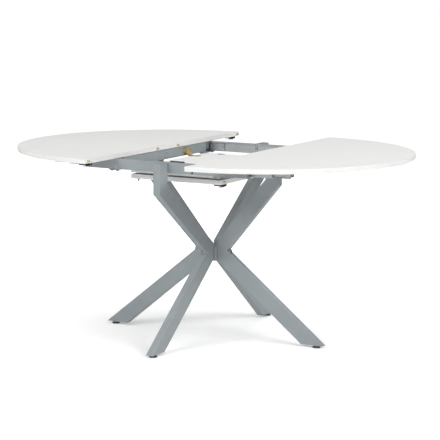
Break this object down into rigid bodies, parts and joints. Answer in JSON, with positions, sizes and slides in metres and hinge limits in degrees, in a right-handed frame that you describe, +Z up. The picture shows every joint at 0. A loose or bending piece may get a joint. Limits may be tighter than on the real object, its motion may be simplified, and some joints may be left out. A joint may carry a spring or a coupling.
{
  "type": "extendable dining table",
  "caption": "Round dining table on bent crossing tube legs: the top splits and slides apart on ball slides for a folding leaf that swings up from between the rails.",
  "frame": {"origin": "on the floor under the middle of the table", "axes": "+X along the way the right half of the top slides open, +Y from the front leg to the back leg, +Z up"},
  "size_m": [1.6328, 1.2, 0.76],
  "materials": {
    "white_board": "matt white melamine-faced board with white edging",
    "grey_powder_coat": "fine-textured satin blue-grey powder coat",
    "dark_steel": "black-coated steel",
    "bright_zinc": "bright zinc plate",
    "yellow_zinc": "yellow passivated zinc plate",
    "brass_pin": "turned brass",
    "grey_plastic": "moulded grey plastic",
    "black_plastic": "moulded black plastic"
  },
  "bodies": {
    "frame": {"leg_front": "grey_powder_coat", "leg_back": "grey_powder_coat", "leg_left": "grey_powder_coat", "leg_right": "grey_powder_coat", "long_rail_front": "grey_powder_coat", "long_rail_back": "grey_powder_coat", "cross_rail_left": "grey_powder_coat", "cross_rail_right": "grey_powder_coat", "corner_plates": "grey_powder_coat", "corner_bolts": "dark_steel", "rail_end_caps": "grey_plastic", "hub_tube": "grey_powder_coat", "hub_end_plates": "grey_powder_coat", "hub_bolts": "dark_steel", "leg_screws": "bright_zinc", "slide_outer_members": "bright_zinc", "slide_screws": "bright_zinc", "foot_nuts": "bright_zinc", "pivot_plates": "yellow_zinc", "pivot_and_stop_pins": "yellow_zinc", "pivot_plate_screws": "yellow_zinc"},
    "left_half": {"top_half_left": "white_board", "alignment_pins_left": "brass_pin", "runner_front_left": "grey_powder_coat", "runner_back_left": "grey_powder_coat", "slide_inner_members_left": "bright_zinc", "runner_end_caps_left": "grey_plastic", "top_screws_left": "bright_zinc", "latch_bases_left": "black_plastic"},
    "right_half": {"top_half_right": "white_board", "runner_front_right": "grey_powder_coat", "runner_back_right": "grey_powder_coat", "slide_inner_members_right": "bright_zinc", "runner_end_caps_right": "grey_plastic", "top_screws_right": "bright_zinc", "catch_plates_right": "black_plastic"},
    "left_slide_middles": {"slide_middle_members_left": "bright_zinc"},
    "right_slide_middles": {"slide_middle_members_right": "bright_zinc"},
    "leaf": {"leaf_upper": "white_board", "leaf_lower": "white_board", "alignment_pins_leaf": "brass_pin", "fold_hinge_cups": "dark_steel", "fold_hinge_links": "bright_zinc", "pivot_brackets": "yellow_zinc", "leaf_screws": "bright_zinc", "catch_plates_leaf": "black_plastic", "leaf_handle": "black_plastic", "latch_bases_leaf": "black_plastic"},
    "hook_left_front": {"latch_lever_left_front": "bright_zinc"},
    "hook_left_back": {"latch_lever_left_back": "bright_zinc"},
    "hook_leaf_upper": {"latch_lever_leaf_upper": "bright_zinc"},
    "hook_leaf_lower": {"latch_lever_leaf_lower": "bright_zinc"},
    "leveller_front": {"leveller_pad_front": "black_plastic", "leveller_stud_front": "bright_zinc"},
    "leveller_back": {"leveller_pad_back": "black_plastic", "leveller_stud_back": "bright_zinc"},
    "leveller_left": {"leveller_pad_left": "black_plastic", "leveller_stud_left": "bright_zinc"},
    "leveller_right": {"leveller_pad_right": "black_plastic", "leveller_stud_right": "bright_zinc"}
  },
  "joints": [
    {"name": "left_half_slide", "type": "slide", "parent": "frame", "child": "left_half", "axis": [-1, 0, 0], "range_m": [-0.2163, 0]},
    {"name": "right_half_slide", "type": "slide", "parent": "frame", "child": "right_half", "axis": [1, 0, 0], "range_m": [-0.2163, 0]},
    {"name": "left_middle_slide", "type": "slide", "parent": "frame", "child": "left_slide_middles", "axis": [-1, 0, 0], "range_m": [-0.145, 0]},
    {"name": "right_middle_slide", "type": "slide", "parent": "frame", "child": "right_slide_middles", "axis": [1, 0, 0], "range_m": [-0.145, 0]},
    {"name": "leaf_swing", "type": "hinge", "parent": "frame", "child": "leaf", "pos_m": [0, 0.15, 0.72025], "axis": [-1, 0, 0], "range_deg": [0, 180]},
    {"name": "hook_left_front_turn", "type": "hinge", "parent": "left_half", "child": "hook_left_front", "pos_m": [-0.2285, -0.56, 0.7315], "axis": [0, 0, 1], "range_deg": [0, 90]},
    {"name": "hook_left_back_turn", "type": "hinge", "parent": "left_half", "child": "hook_left_back", "pos_m": [-0.2285, 0.56, 0.7315], "axis": [0, 0, 1], "range_deg": [0, 90]},
    {"name": "hook_leaf_upper_turn", "type": "hinge", "parent": "leaf", "child": "hook_leaf_upper", "pos_m": [0.188, -0.26, 0.709], "axis": [0, 0, 1], "range_deg": [0, 90]},
    {"name": "hook_leaf_lower_turn", "type": "hinge", "parent": "leaf", "child": "hook_leaf_lower", "pos_m": [0.188, -0.26, 0.646], "axis": [0, 0, 1], "range_deg": [0, 90]},
    {"name": "leveller_front_turn", "type": "hinge", "parent": "frame", "child": "leveller_front", "pos_m": [0, -0.464, 0.015], "axis": [0, 0, 1], "continuous": true},
    {"name": "leveller_back_turn", "type": "hinge", "parent": "frame", "child": "leveller_back", "pos_m": [0, 0.464, 0.015], "axis": [0, 0, 1], "continuous": true},
    {"name": "leveller_left_turn", "type": "hinge", "parent": "frame", "child": "leveller_left", "pos_m": [-0.464, 0, 0.015], "axis": [0, 0, 1], "continuous": true},
    {"name": "leveller_right_turn", "type": "hinge", "parent": "frame", "child": "leveller_right", "pos_m": [0.464, 0, 0.015], "axis": [0, 0, 1], "continuous": true}
  ],
  "couplings": [
    {"joint": "left_middle_slide", "follows": "left_half_slide", "ratio": 0.67},
    {"joint": "right_middle_slide", "follows": "right_half_slide", "ratio": 0.67}
  ]
}
